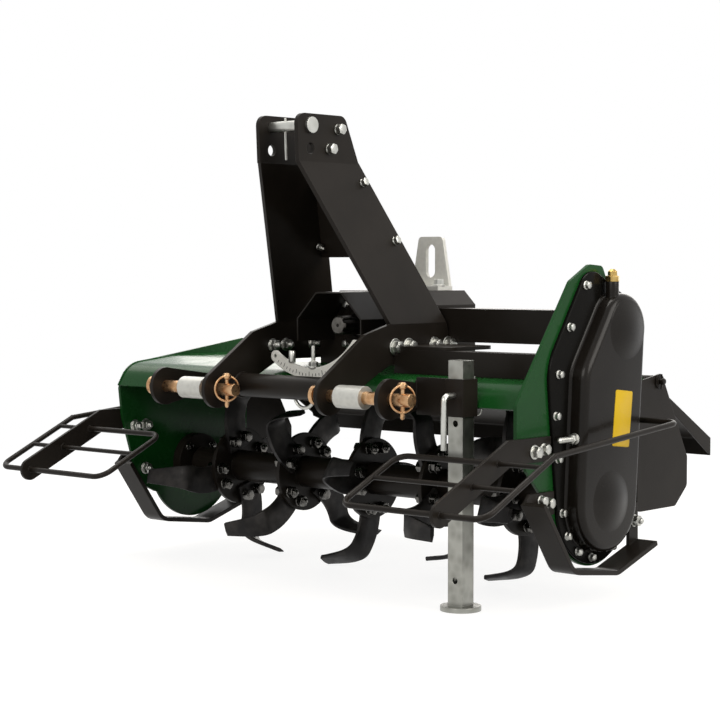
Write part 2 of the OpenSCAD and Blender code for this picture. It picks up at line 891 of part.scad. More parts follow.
module chain_case() {
  color(black_paint) {
    side_plate(panel_out, case_flange_t) hull() {
      lobe(chain_lean, chain_span, rim_upper_r);
      lobe(rim_top_y, rim_top_z, rim_top_r);
      lobe(rim_mid_y, rim_mid_z, rim_mid_r);
      lobe(0, 0, rim_lower_r);
    }
    side_plate(panel_out, case_depth - case_edge) case_outline(0);
    side_plate(panel_out, case_depth) case_outline(case_edge);
    dome(chain_lean, chain_span);
    dome(0, 0);
    translate([panel_out + case_depth / 2, upper_y + neck_set, upper_z])
      cylinder(h = case_upper_r + neck_h, d = neck_d);
  }
}

module breather() {
  base = upper_z + case_upper_r + neck_h;
  color("#c9a24a") translate([panel_out + case_depth / 2, upper_y + neck_set, base]) {
    cylinder(h = breather_h - breather_dome, d = breather_d);
    translate([0, 0, breather_h - breather_dome])
      cylinder(h = breather_dome, d1 = breather_d, d2 = breather_d - 2 * breather_dome);
  }
}

// Skids and guards

function skid_path() = [[skid_toe_y, skid_toe_z], [skid_heel_y, skid_z + skid_heel_rise],
  [skid_flat_y, skid_z], [skid_tail_y, skid_z + skid_tail_rise]];

// Bent sole on a side plate that bolts to the panel
module skid() {
  color(black_paint) {
    side_plate(panel_out, skid_w)
      polygon(flip(sheet(flip(round_path(skid_path(), skid_bend_r)), skid_t)));
    side_plate(panel_out, skid_plate_t) difference() {
      polygon([[skid_toe_y, skid_toe_z], [skid_toe_y + skid_tab_run, skid_tab_z],
        [skid_tab_front, skid_tab_z], [skid_tab_front + skid_shoulder_y, skid_shoulder_z],
        [skid_post_y, skid_shoulder_z],
        [skid_post_y, skid_post_z], [skid_post_y + skid_post_l, skid_post_z],
        [skid_post_y + skid_post_l, skid_post_foot], [skid_tail_y, skid_z + skid_tail_rise + skid_t],
        [skid_flat_y, skid_z + skid_t / 2], [skid_heel_y, skid_z + skid_heel_rise + skid_t / 2]]);
      translate([rotor_y, rotor_z]) circle(r = skid_relief_r);
    }
  }
}

module skid_left() {
  translate([-2 * panel_out - skid_plate_t, 0, 0]) skid();
}

module skid_right() {
  skid();
}

// Flat bar on edge with wire rungs and an outer wire that runs back along the side
module guard() {
  knee = [front_y + bar_h / 2 + guard_run * cos(guard_slope), guard_z];
  tip = knee - guard_run * [cos(guard_slope), sin(guard_slope)];
  weld = panel_out + lap;
  guard_out = panel_out + guard_reach;
  guard_in = panel_out - guard_inset;
  color(black_paint) {
    side_plate(panel_out, bar_t) union() {
      polygon(band([[rotor_y - bar_reach, guard_z], knee, tip], bar_h));
      translate(tip) circle(d = bar_h);
    }
    translate([0, knee[0], knee[1]]) {
      rotate([guard_slope, 0, 0]) {
        flat_wire([[weld, -rung_rear], [guard_in, -rung_rear], [guard_in, -guard_run],
          [guard_out, -guard_run], [guard_out, 0]], wire_d, wire_bend_r);
        bar_x(weld, -rung_rear, 0, rung_d, guard_out - weld);
        bar_x(guard_in, -rung_mid, 0, rung_d, guard_out - guard_in);
      }
      translate([guard_out, 0, 0]) sphere(d = wire_d + weld_bead);
      rotate([guard_rise, 0, 0])
        flat_wire([[guard_out, 0], [guard_out, wire_tail], [panel_out, wire_tail]], wire_d, wire_bend_r);
    }
  }
}

module guard_left() {
  mirror([1, 0, 0]) guard();
}

module guard_right() {
  guard();
}

// Rotor

module bearing(side) {
  x = side > 0 ? panel_in - bearing_t : -panel_in;
  color(black_paint) difference() {
    bar_x(x, rotor_y, rotor_z, bearing_d, bearing_t);
    bar_x(x - bearing_t, rotor_y, rotor_z, journal_d + 2 * fit, bearing_t * 3);
  }
}

module bearing_left() {
  bearing(-1);
}

module bearing_right() {
  bearing(1);
}

function flange_x(k) = (k - (flange_n - 1) / 2) * flange_pitch;

module rotor_shaft() {
  half = panel_in - bearing_t - tube_gap;
  journal = panel_in - lap;
  color(black_paint) {
    bar_x(-half, rotor_y, rotor_z, tube_d, half * 2);
    bar_x(-journal, rotor_y, rotor_z, journal_d, journal * 2);
    for (k = [0:flange_n - 1])
      bar_x(flange_x(k) - flange_t / 2, rotor_y, rotor_z, flange_d, flange_t);
  }
}

// One edge of a tine's swept shank, at radius r about the sweep's centre
function shank_edge(r) = [for (i = [0:curve_steps]) let (a = tine_sweep * i / curve_steps)
  [tine_sweep_r - r * cos(a), tine_seat_r + r * sin(a)]];

// One tine: swept shank along Z, bend toward +X and flat blade. The bar's bent profile is cut to
// the outline that it has from the side, and the blade's back edge tapers to its tip.
module tine() {
  half = tine_w / 2;
  root = tine_seat_r - shank_root;
  ahead = [sin(tine_sweep), cos(tine_sweep)] * (tip_rise + tine_t);
  front = shank_edge(tine_sweep_r + half);
  back = shank_edge(tine_sweep_r - half);
  bend = [for (i = [0:curve_steps]) let (a = tine_bend * i / curve_steps)
    tine_bend_r * [1 - cos(a), sin(a)]];
  blade_end = bend[curve_steps] + blade_l * [sin(tine_bend), cos(tine_bend)];
  profile = concat([[0, -tip_r]], bend, [blade_end]);
  intersection() {
    side_plate(-tine_t, blade_end[0] + tine_t * 2) polygon(concat([[-half, root]], front,
      [front[curve_steps] + ahead, back[curve_steps] + ahead], flip(back), [[half, root]]));
    translate([0, shank_end[0], shank_end[1]]) rotate([-tine_sweep, 0, 0]) difference() {
      front_plate(-tine_w * 2, tine_w * 4) polygon(band(profile, tine_t));
      linear_extrude(tip_r) polygon([[tine_bend_r, half + overrun], [tine_bend_r, half],
        [blade_end[0] + overrun, half - tine_w * blade_taper_share],
        [blade_end[0] + overrun, half + overrun]]);
    }
  }
}

module tines() {
  first = tip_lag + 180;
  seat = (flange_t + tine_t) / 2;
  color("#2a2622") for (k = [0:flange_n - 1], j = [0:tine_n - 1])
    translate([flange_x(k), rotor_y, rotor_z]) rotate([first + tine_turn(k, j), 0, 0])
      mirror([(j + (k < tine_swap ? 0 : 1)) % 2, 0, 0]) translate([seat, 0, 0]) tine();
}

deck();
side_panel_left();
side_panel_right();
wing_left();
wing_right();
drive_tube();
deck_beam();
deck_shelf();
gearbox();
slotted_lug();
pto_shield();
pto_shaft();
arc_plate();
hitch_tube();
mast_left();
mast_right();
mast_web();
top_pin();
hitch_plate_left();
hitch_plate_right();
hitch_pin_left();
hitch_pin_right();
hitch_sleeve_left();
hitch_sleeve_right();
stand_sleeve();
stand_leg();
stand_pin();
chain_case();
breather();
skid_left();
skid_right();
guard_left();
guard_right();
bearing_left();
bearing_right();
rotor_shaft();
tines();
tailgate();
hinge_rod();
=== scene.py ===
"""Rotary tiller: materials, fasteners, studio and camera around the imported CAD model."""
import json
import math

import bmesh
import bpy
from mathutils import Matrix, Vector


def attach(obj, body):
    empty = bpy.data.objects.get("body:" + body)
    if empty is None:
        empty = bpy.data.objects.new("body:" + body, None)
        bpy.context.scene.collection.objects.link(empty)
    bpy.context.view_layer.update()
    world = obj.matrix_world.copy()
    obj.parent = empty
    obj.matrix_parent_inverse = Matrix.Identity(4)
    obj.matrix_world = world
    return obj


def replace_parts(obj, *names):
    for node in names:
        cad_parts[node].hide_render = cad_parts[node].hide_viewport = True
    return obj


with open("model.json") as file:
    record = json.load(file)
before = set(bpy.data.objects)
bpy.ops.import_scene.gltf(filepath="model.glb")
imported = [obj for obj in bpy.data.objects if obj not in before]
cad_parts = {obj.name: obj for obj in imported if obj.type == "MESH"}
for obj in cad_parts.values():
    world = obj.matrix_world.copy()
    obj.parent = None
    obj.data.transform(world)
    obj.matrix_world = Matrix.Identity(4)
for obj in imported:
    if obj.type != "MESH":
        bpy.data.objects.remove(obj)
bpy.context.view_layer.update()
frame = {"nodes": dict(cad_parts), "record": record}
nodes = frame["nodes"]

# Camera, as fitted to the photograph: place in metres, angles in degrees, focal length in pixels
CAMERA_AT = Vector((2.3049, -2.6122, 0.5618))
CAMERA_TURN = 41.64
CAMERA_DIP = 2.8
FOCAL_PX = 1884.3
IMAGE_PX = 720
SENSOR_MM = 36.0


# Materials

# Radius in metres to which the shading rounds every hard edge
EDGE_RADIUS = 0.0018
EDGE_SAMPLES = 4
# Roughness of the clear coat over paint
COAT_ROUGHNESS = 0.12
# Span of a noise texture over which roughness runs from low to high
NOISE_LOW, NOISE_HIGH = 0.3, 0.7


class Shader:
    """A principled material built from a few procedural layers."""

    def __init__(self, name):
        self.material = bpy.data.materials.new(name)
        self.material.use_nodes = True
        self.tree = self.material.node_tree
        self.bsdf = self.tree.nodes["Principled BSDF"]
        self.coords = self.tree.nodes.new("ShaderNodeTexCoord")

    def set(self, **values):
        """Sets inputs of the principled shader by name."""
        for key, value in values.items():
            self.bsdf.inputs[key.replace("_", " ")].default_value = value
        return self

    def link(self, a, b):
        self.tree.links.new(a, b)

    def noise(self, scale, detail):
        """Cloudy noise over the object's own coordinates."""
        node = self.tree.nodes.new("ShaderNodeTexNoise")
        node.inputs["Scale"].default_value = scale
        node.inputs["Detail"].default_value = detail
        self.link(self.coords.outputs["Object"], node.inputs["Vector"])
        return node.outputs["Fac"]

    def spots(self, scale):
        """Distance to the middle of the nearest cell, for the spangle of zinc."""
        node = self.tree.nodes.new("ShaderNodeTexVoronoi")
        node.inputs["Scale"].default_value = scale
        self.link(self.coords.outputs["Object"], node.inputs["Vector"])
        return node.outputs["Distance"]

    def colour(self, fac, low, high, start=0.35, end=0.65):
        """Base colour that runs from low to high over a span of a texture."""
        node = self.tree.nodes.new("ShaderNodeValToRGB")
        for element, place, shade in zip(node.color_ramp.elements, (start, end), (low, high)):
            element.position = place
            element.color = (*shade, 1.0)
        self.link(fac, node.inputs["Fac"])
        self.link(node.outputs["Color"], self.bsdf.inputs["Base Color"])
        return self

    def roughness(self, fac, low, high):
        """Roughness that runs from low to high over a noise texture."""
        node = self.tree.nodes.new("ShaderNodeMapRange")
        node.inputs["From Min"].default_value = NOISE_LOW
        node.inputs["From Max"].default_value = NOISE_HIGH
        node.inputs["To Min"].default_value = low
        node.inputs["To Max"].default_value = high
        self.link(fac, node.inputs["Value"])
        self.link(node.outputs["Result"], self.bsdf.inputs["Roughness"])
        return self

    def bump(self, fac, strength, distance):
        """Fine relief, laid over the rounded shading of hard edges."""
        node = self.tree.nodes.new("ShaderNodeBump")
        node.inputs["Strength"].default_value = strength
        node.inputs["Distance"].default_value = distance
        self.link(fac, node.inputs["Height"])
        edge = self.tree.nodes.new("ShaderNodeBevel")
        edge.samples = EDGE_SAMPLES
        edge.inputs["Radius"].default_value = EDGE_RADIUS
        self.link(edge.outputs["Normal"], node.inputs["Normal"])
        self.link(node.outputs["Normal"], self.bsdf.inputs["Normal"])
        return self


def paint(name, low, high, rough, coat, specular):
    """Sprayed paint: faint mottle, orange peel and a clear coat."""
    s = Shader(name).set(Coat_Weight=coat, Coat_Roughness=COAT_ROUGHNESS, Specular_IOR_Level=specular)
    s.colour(s.noise(scale=9.0, detail=5.0), low, high)
    s.roughness(s.noise(scale=38.0, detail=4.0), *rough)
    s.bump(s.noise(scale=520.0, detail=2.0), strength=0.06, distance=0.0006)
    return s.material


def plated(name, low, high, rough, spangle, metallic=1.0):
    """Plated or bare metal: spangle in the tone, finely broken roughness."""
    s = Shader(name).set(Metallic=metallic)
    s.colour(s.spots(spangle), low, high, start=0.1, end=0.75)
    s.roughness(s.noise(scale=160.0, detail=4.0), *rough)
    s.bump(s.noise(scale=700.0, detail=3.0), strength=0.05, distance=0.0004)
    return s.material


def dark_steel(name, low, high, rough):
    """Dipped black tine steel, rubbed to metal in places."""
    s = Shader(name).set(Metallic=0.35, Specular_IOR_Level=0.2)
    s.colour(s.noise(scale=24.0, detail=6.0), low, high, start=0.45, end=0.72)
    s.roughness(s.noise(scale=60.0, detail=4.0), *rough)
    s.bump(s.noise(scale=240.0, detail=4.0), strength=0.12, distance=0.0008)
    return s.material


BLACK = paint("black_paint", (0.0118, 0.0094, 0.0074), (0.0168, 0.0137, 0.0110),
              rough=(0.345, 0.395), coat=0.02, specular=0.12)
# Darker, duller copy of the black paint for the chain case's flange: painted shade of the recess round the
# cover
SHADED_FLANGE_BLACK = paint("flange_black_painted_shade", (0.0045, 0.0042, 0.0036), (0.0065, 0.006, 0.0052),
                     rough=(0.2, 0.3), coat=0.0, specular=0.06)
CASE_BLACK = paint("case_black", (0.0088, 0.0072, 0.0058), (0.0125, 0.0104, 0.0085),
                   rough=(0.22, 0.28), coat=0.1, specular=0.12)
GREEN = paint("green_paint", (0.0055, 0.055, 0.0095), (0.0075, 0.066, 0.012),
              rough=(0.22, 0.3), coat=0.1, specular=0.1)
ZINC = plated("zinc", (0.44, 0.44, 0.41), (0.53, 0.53, 0.495), rough=(0.29, 0.38), spangle=60.0)
LEG_ZINC = plated("leg_zinc", (0.25, 0.25, 0.225), (0.34, 0.34, 0.31), rough=(0.29, 0.38), spangle=60.0)
# Paler, half-metallic copy of the zinc for the hitch sleeves: painted highlight laid into a brighter diffuse
# tone
PALE_ZINC_PAINTED_HIGHLIGHT = plated("pale_zinc_painted_highlight", (0.55, 0.55, 0.515), (0.62, 0.62, 0.58),
                   rough=(0.3, 0.4), spangle=110.0, metallic=0.45)
# Near-white, non-metallic copies of the zinc for the arc plate and the lug: painted light on faces that
# little lamp light reaches
ARC_ZINC_PAINTED_LIGHT = plated("arc_zinc_painted_light", (0.9, 0.9, 0.85), (0.95, 0.95, 0.9),
                    rough=(0.3, 0.4), spangle=120.0, metallic=0.0)
LUG_ZINC_PAINTED_LIGHT = plated("lug_zinc_painted_light", (0.76, 0.76, 0.72), (0.82, 0.82, 0.775),
                  rough=(0.3, 0.4), spangle=120.0, metallic=0.0)
GOLD = plated("gold_zinc", (0.4, 0.215, 0.1), (0.54, 0.34, 0.185), rough=(0.24, 0.38), spangle=90.0)
STEEL = plated("bare_steel", (0.08, 0.074, 0.066), (0.12, 0.114, 0.104), rough=(0.3, 0.45), spangle=140.0)
DARK_ZINC = plated("dark_zinc", (0.09, 0.087, 0.082), (0.145, 0.14, 0.13), rough=(0.2, 0.32), spangle=120.0)
BRASS = plated("brass", (0.42, 0.28, 0.085), (0.53, 0.38, 0.14), rough=(0.22, 0.36), spangle=110.0)
TINE = dark_steel("tine_steel", (0.014, 0.013, 0.013), (0.05, 0.046, 0.043), rough=(0.32, 0.55))
YELLOW = paint("yellow_sticker", (0.72, 0.46, 0.012), (0.76, 0.5, 0.016),
               rough=(0.36, 0.46), coat=0.03, specular=0.17)

SLOT_LOOKS = {"black_paint": BLACK, "green_paint": GREEN, "zinc": ZINC, "gold_zinc": GOLD,
              "bare_steel": STEEL, "tine_steel": TINE, "brass": BRASS}
# Arc plate, lug and hitch sleeves take brightened zinc as painted light; the stand leg takes a darker zinc
NODE_LOOKS = {"arc_plate": ARC_ZINC_PAINTED_LIGHT, "slotted_lug": LUG_ZINC_PAINTED_LIGHT, "hitch_sleeve_left": PALE_ZINC_PAINTED_HIGHLIGHT,
              "hitch_sleeve_right": PALE_ZINC_PAINTED_HIGHLIGHT, "stand_leg": LEG_ZINC}


def dress_nodes():
    """Each CAD node takes the material of its slot in the record, or a variant of it, some brightened with
    painted light.
    """
    slots = {entry["node"]: entry["material_slot"] for entry in frame["record"]["subparts"]}
    for name, obj in nodes.items():
        look = NODE_LOOKS.get(name, SLOT_LOOKS[slots[name]])
        if not obj.data.materials:
            obj.data.materials.append(look)
        for slot in obj.material_slots:
            slot.material = look


dress_nodes()


# Small pieces

def mm(*values):
    """Millimetres in the row's frame as a vector in metres."""
    return Vector(values) / 1000.0


def basis(axis):
    """Rotation that carries local +Z onto an axis."""
    return Vector(axis).to_track_quat("Z", "Y").to_matrix().to_4x4()


# Bolt heads and studs as shares of the width across flats, and a stud's thread root as a share of its crest
HEAD_SHARE, STUD_SHARE, ROOT_SHARE = 0.62, 0.29, 0.86
# Radius at which a hexagon's chamfer ends, as a share of its half width, and its fall over its run
CHAMFER_SHARE, CHAMFER_FALL = 0.96, 0.5
# Height of a washer, and where the head on it begins, in millimetres
WASHER_TOP, HEAD_FOOT = 2.3, 2.2
THREAD_PITCH = 1.5
# Where a slab's eased edge begins, as a share of its thickness, and the share that its outline draws in to
EASE_FROM, EASE_TO = 0.7, 0.985


def thread(crest, root, start, end, pitch=THREAD_PITCH):
    """Profile of a threaded length in millimetres, and the height at which it stops."""
    profile = [(root, start - 0.5)]
    height = start
    while height < end:
        profile += [(crest, height), (root, height + pitch / 2)]
        height += pitch
    return profile, height


class Piece:
    """A mesh gathered from several shapes, with one look, riding on one body."""

    def __init__(self, name, look, body="frame"):
        self.name, self.look, self.body = name, look, body
        self.bm = bmesh.new()

    def rings(self, rings, at, axis, cap_start=True, cap_end=True):
        """Skins a row of closed rings, each a list of local points, placed along an axis."""
        place = Matrix.Translation(at) @ basis(axis)
        return self.skin([[place @ Vector(p) for p in ring] for ring in rings], cap_start, cap_end)

    def skin(self, rings, cap_start=True, cap_end=True):
        """Skins a row of closed rings of points in metres."""
        rows = [[self.bm.verts.new(p) for p in ring] for ring in rings]
        for low, high in zip(rows, rows[1:]):
            n = len(low)
            for i in range(n):
                self.bm.faces.new((low[i], low[(i + 1) % n], high[(i + 1) % n], high[i]))
        if cap_start:
            self.bm.faces.new(rows[0][::-1])
        if cap_end:
            self.bm.faces.new(rows[-1])
        return self

    def lathe(self, profile, at, axis, steps=28, closed=False):
        """Turns a profile of (radius, height) in millimetres about an axis."""
        rings = [[(r * math.cos(t) / 1000, r * math.sin(t) / 1000, h / 1000)
                  for t in (2 * math.pi * i / steps for i in range(steps))] for r, h in profile]
        if closed:
            return self.rings(rings + [rings[0]], at, axis, False, False)
        return self.rings(rings, at, axis)

    def hexagon(self, flats, low, high, at, axis, turn=0.0, steps=36):
        """A hexagon between two heights, with the usual round chamfer on its outer face."""
        def reach(t):
            return flats / 2 / math.cos((t + math.radians(turn)) % (math.pi / 3) - math.pi / 6)
        angles = [2 * math.pi * i / steps for i in range(steps)]
        inner = flats / 2 * CHAMFER_SHARE

        def ring(radius, height):
            return [(radius(t) * math.cos(t) / 1000, radius(t) * math.sin(t) / 1000, height(t) / 1000)
                    for t in angles]
        return self.rings([ring(reach, lambda t: low),
                           ring(reach, lambda t: high - (reach(t) - inner) * CHAMFER_FALL),
                           ring(lambda t: inner, lambda t: high)], at, axis)

    def bolt(self, at, axis, flats=17, washer=22, stud=0.0, turn=0.0):
        """Washer and bolt head, or a nut with a stud's threaded end where stud is over zero."""
        rim = washer / 2
        self.lathe([(rim - 0.4, 0), (rim, 0.4), (rim, 1.8), (rim - 0.5, WASHER_TOP), (flats / 2, WASHER_TOP)],
                   at, axis)
        top = HEAD_FOOT + flats * HEAD_SHARE
        self.hexagon(flats, HEAD_FOOT, top, at, axis, turn)
        if stud:
            crest = flats * STUD_SHARE
            profile, end = thread(crest, crest * ROOT_SHARE, top, top + stud)
            self.lathe(profile + [(crest * 0.6, end + 0.4)], at, axis, 20)
        else:
            self.lathe([(flats * 0.36, top - 0.1), (flats * 0.35, top + 0.25), (flats * 0.2, top + 0.3)],
                       at, axis, 24)
        return self

    def wire(self, points, radius, steps=10, closed=False):
        """A round wire through points in metres. Its radius may be a function of the share along it."""
        pts = [Vector(p) for p in points]
        n = len(pts)
        tangents = []
        for i in range(n):
            a = pts[i - 1] if closed or i else pts[0]
            b = pts[(i + 1) % n] if closed or i < n - 1 else pts[n - 1]
            tangents.append((b - a).normalized())
        side = tangents[0].orthogonal().normalized()
        turns = [2 * math.pi * k / steps for k in range(steps)]
        rows = []
        for p, t in zip(pts, tangents):
            side = (side - t * side.dot(t)).normalized()
            up = t.cross(side)
            r = radius(len(rows) / max(n - 1, 1)) if callable(radius) else radius
            rows.append([self.bm.verts.new(p + (side * math.cos(a) + up * math.sin(a)) * r / 1000)
                         for a in turns])
        pairs = list(zip(rows, rows[1:])) + ([(rows[-1], rows[0])] if closed else [])
        for low, high in pairs:
            for k in range(steps):
                self.bm.faces.new((low[k], low[(k + 1) % steps], high[(k + 1) % steps], high[k]))
        if not closed:
            self.bm.faces.new(rows[0][::-1])
            self.bm.faces.new(rows[-1])
        return self

    def slab(self, outline, at, across, up, thick):
        """A plate from an outline in millimetres, spanned by two axes, with its edges eased."""
        across, up = Vector(across), Vector(up)
        out = across.cross(up).normalized()
        middle = Vector((sum(p[0] for p in outline), sum(p[1] for p in outline))) / len(outline)

        def ring(share, height):
            return [at + across * (middle.x + (x - middle.x) * share) / 1000
                    + up * (middle.y + (y - middle.y) * share) / 1000 + out * height / 1000
                    for x, y in outline]
        return self.skin([ring(1, 0), ring(1, thick * EASE_FROM), ring(EASE_TO, thick)])

    def done(self, smooth=40.0):
        """Makes the object, shades it smooth up to an angle and ties it to its body."""
        bmesh.ops.recalc_face_normals(self.bm, faces=self.bm.faces)
        mesh = bpy.data.meshes.new(self.name)
        for face in self.bm.faces:
            face.smooth = True
        for edge in self.bm.edges:
            edge.smooth = len(edge.link_faces) == 2 and edge.calc_face_angle(0.0) < math.radians(smooth)
        self.bm.to_mesh(mesh)
        self.bm.free()
        mesh.materials.append(self.look)
        obj = bpy.data.objects.new(self.name, mesh)
        bpy.context.collection.objects.link(obj)
        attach(obj, self.body)
        return obj


def arc_points(centre, a, b, radius, start, end, steps):
    """Points of an arc of a radius in millimetres, in the plane of two axes."""
    a, b = Vector(a), Vector(b)
    return [centre + (a * math.cos(math.radians(t)) + b * math.sin(math.radians(t))) * radius / 1000
            for t in (start + (end - start) * i / steps for i in range(steps + 1))]


def round_rect(w, h, r, steps=5):
    """Outline of a rectangle with round corners, about its middle."""
    out = []
    x, y = w / 2 - r, h / 2 - r
    for cx, cy, start in ((x, y, 0), (-x, y, 90), (-x, -y, 180), (x, -y, 270)):
        out += [(cx + r * math.cos(math.radians(start + 90 * i / steps)),
                 cy + r * math.sin(math.radians(start + 90 * i / steps))) for i in range(steps + 1)]
    return out


# Places that the CAD pieces share, in millimetres
ROTOR_Y, ROTOR_Z = 17.0, 170.802
HITCH_X, HITCH_Y, HITCH_Z = 30.0, -285.0, 347.0
SHAFT_Y, SHAFT_Z = 64.0, 458.802
PANEL_IN, PANEL_OUT, PLATE_OUT = 486.0, 492.0, 498.0
CASE_FACE = PANEL_OUT + 38
BOX_FRONT, BOX_TOP = -40.0, 520.0
RIGHT, LEFT = (1, 0, 0), (-1, 0, 0)
FRONT, REAR, UP, DOWN = (0, -1, 0), (0, 1, 0), (0, 0, 1), (0, 0, -1)


def across_hitch(x):
    """The same place on the other side of the hitch's middle."""
    return 2 * HITCH_X - x


# The mast's head plates and the legs that lean out below them, in millimetres
HEAD_OUT = 80.0
LEG_TOP_Z, LEG_TOP_Y, LEG_HALF, PLATE_T = 744.0, -131.0, 46.0, 8.0
LEG_DROP, LEG_SPREAD, LEG_SWEEP = 280.0, 89.0, 137.0
LEG_LEAN = math.atan2(LEG_SPREAD, LEG_DROP)
LEG_BOLTS_Z = (711, 609)
# Outer face of the right foot, and the heights of the bolts through the right foot and the left one
FOOT_OUT, FOOT_RIGHT_Z, FOOT_LEFT_Z = 169.0, 424.0, 421.0


def leg_face(z):
    """Place across and along of the right leg's outer face at a height, in millimetres."""
    depth = LEG_TOP_Z - z
    x = HITCH_X + LEG_HALF + LEG_SPREAD * depth / LEG_DROP + PLATE_T / 2 / math.cos(LEG_LEAN)
    return x, LEG_TOP_Y + LEG_SWEEP * depth / LEG_DROP


def mast_bolts():
    """Bolts on the mast's heads, down its legs and through its feet."""
    head = Piece("mast_bolts", ZINC)
    for y, z in ((-168, 803), (-190, 768)):
        head.bolt(mm(HEAD_OUT, y, z), RIGHT, 17, 19, turn=12)
        head.bolt(mm(across_hitch(HEAD_OUT), y, z), LEFT, 19, 24, 7)
    out = Vector((math.cos(LEG_LEAN), 0, math.sin(LEG_LEAN)))
    for z in LEG_BOLTS_Z:
        x, y = leg_face(z)
        head.bolt(mm(x, y, z), out, 13, 15, turn=20)
        head.bolt(mm(across_hitch(x), y, z), (-out.x, 0, out.z), 17, 22, 5)
    # Nuts inside the legs, beside the lower of the two bolts
    low = min(LEG_BOLTS_Z)
    x, y = leg_face(low)
    inner = x - PLATE_T / math.cos(LEG_LEAN)
    head.bolt(mm(inner, y - 14, low - 6), -out, 13, 16, 6)
    head.bolt(mm(across_hitch(inner), y - 8, low - 8), (out.x, 0, -out.z), 11, 13, 6)
    head.done()
    foot = Piece("mast_foot_bolts", ZINC)
    for n, (right_y, left_y) in enumerate(((-118, -147), (-82, -113), (-10, -40), (28, -4))):
        foot.bolt(mm(FOOT_OUT, right_y, FOOT_RIGHT_Z), RIGHT, 19, 30, turn=17 * n)
        foot.bolt(mm(across_hitch(FOOT_OUT - PLATE_T), left_y, FOOT_LEFT_Z), RIGHT, 17, 24, 7, turn=23 * n)
        foot.bolt(mm(across_hitch(FOOT_OUT), left_y, FOOT_LEFT_Z), LEFT, 19, 28, turn=9 * n)
    foot.done()


def rounded(points, radius, steps=6):
    """An open path of (y, z) with its inner corners rounded."""
    path = [Vector(points[0])]
    for a, p, b in zip(points, points[1:], points[2:]):
        a, p, b = Vector(a), Vector(p), Vector(b)
        u, w = (a - p).normalized(), (b - p).normalized()
        half = u.angle(w) / 2
        run = radius / math.tan(half)
        for i in range(steps + 1):
            s = i / steps
            path.append((p + u * run) * (1 - s) ** 2 + p * 2 * s * (1 - s) + (p + w * run) * s * s)
    return path + [Vector(points[-1])]


def strip_rings(path, thick, low, high):
    """Rings of a flat strip on the left of a path of (y, z), between two places across."""
    rings = []
    for n, p in enumerate(path):
        d = (path[min(n + 1, len(path) - 1)] - path[max(n - 1, 0)]).normalized()
        side = p + Vector((-d.y, d.x)) * thick
        rings.append([mm(low, *p), mm(high, *p), mm(high, *side), mm(low, *side)])
    return rings


# Top face of the deck from its front lip to its rear edge, in (y, z)
DECK_PATH = rounded([(-183, 333), (-158, 374), (-43, 386), (120, 386), (200, 362)], 60.0, 10)
DECK_T = 4.0


def deck():
    """The deck as one bent sheet between the side panels."""
    sheet = Piece("deck_sheet", GREEN)
    sheet.skin(strip_rings(DECK_PATH, -DECK_T, -PANEL_IN, PANEL_IN))
    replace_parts(sheet.done(30.0), "deck")


def skids():
    """Bent flat straps, with a bolted tab in front and a post behind."""
    path = rounded([(-184, 180), (-100, 61), (30, 45), (150, 83)], 40.0)
    tab = [(-180, 181), (-167, 196), (-100, 196), (-99, 158), (-155, 148)]
    post = [(121, 80), (149, 88), (148, 154), (122, 154)]
    strap_t, strap_w, plate_t = 8.0, 46.0, 6.0
    for name, low in (("skid_right", PANEL_OUT), ("skid_left", -PLATE_OUT)):
        skid = Piece(name + "_strap", BLACK)
        skid.skin(strip_rings(path, strap_t, low, low + strap_w))
        for outline in (tab, post):
            skid.slab(outline, mm(low, 0, 0), REAR, UP, plate_t)
        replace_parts(skid.done(30.0), name)


def lobed_ring(lobes, inset, x, steps=160):
    """Points round the hull of circles (y, z, radius), moved in by an inset, at a height x."""
    ring = []
    for i in range(steps):
        out = Vector((math.cos(2 * math.pi * i / steps), math.sin(2 * math.pi * i / steps)))
        y, z, r = max(lobes, key=lambda lobe: out.x * lobe[0] + out.y * lobe[1] + lobe[2])
        ring.append(mm(x, y + (r - inset) * out.x, z + (r - inset) * out.y))
    return ring


def chain_case():
    """The pressed cover with its round rim and two domes, on its flange, which is painted darker as shade."""
    lower, upper = (ROTOR_Y, ROTOR_Z), (SHAFT_Y, SHAFT_Z)
    pan = [(*upper, 60.0), (ROTOR_Y - 12, ROTOR_Z + 200, 62.0), (*lower, 86.0)]
    rim = [(*upper, 68.0), (ROTOR_Y - 7, ROTOR_Z + 345, 40.0), (ROTOR_Y - 39, ROTOR_Z + 207, 92.0),
           (*lower, 108.0)]
    foot, face, round_r = PLATE_OUT, CASE_FACE, 13.0
    cover = Piece("chain_cover", CASE_BLACK)
    profile = [(-4.0, foot - 0.5), (-3.4, foot + 0.6), (-1.4, foot + 1.6), (0.0, foot + 4.0)]
    round_steps = 8
    for k in range(round_steps + 1):
        t = math.radians(90 * k / round_steps)
        profile.append((round_r * (1 - math.cos(t)), face - round_r * (1 - math.sin(t))))
    cover.skin([lobed_ring(pan, inset, x) for inset, x in profile])
    dome_r, dome_h = 52, 9.0
    dome = [(r, dome_h * (1 - (r / dome_r) ** 2) ** 1.3 - 0.2)
            for r in (51.5, 49, 46, 42, 37, 31, 24, 16, 8, 1)]
    for y, z in (lower, upper):
        cover.lathe(dome, mm(face, y, z), RIGHT, 56)
    neck = mm(PANEL_OUT + 19, SHAFT_Y - 18, SHAFT_Z)
    cover.lathe([(11, 40), (11, 81), (10, 84), (4, 84.2)], neck, UP, 36)
    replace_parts(cover.done(30.0), "chain_case")
    # The flange takes the darker paint: painted shade of the recess round the cover
    flange = Piece("chain_flange", SHADED_FLANGE_BLACK)
    edge = ((0, PANEL_OUT), (0, foot - 2), (0.7, foot - 0.6), (2.2, foot))
    flange.skin([lobed_ring(rim, inset, x) for inset, x in edge])
    flange.done(30.0)


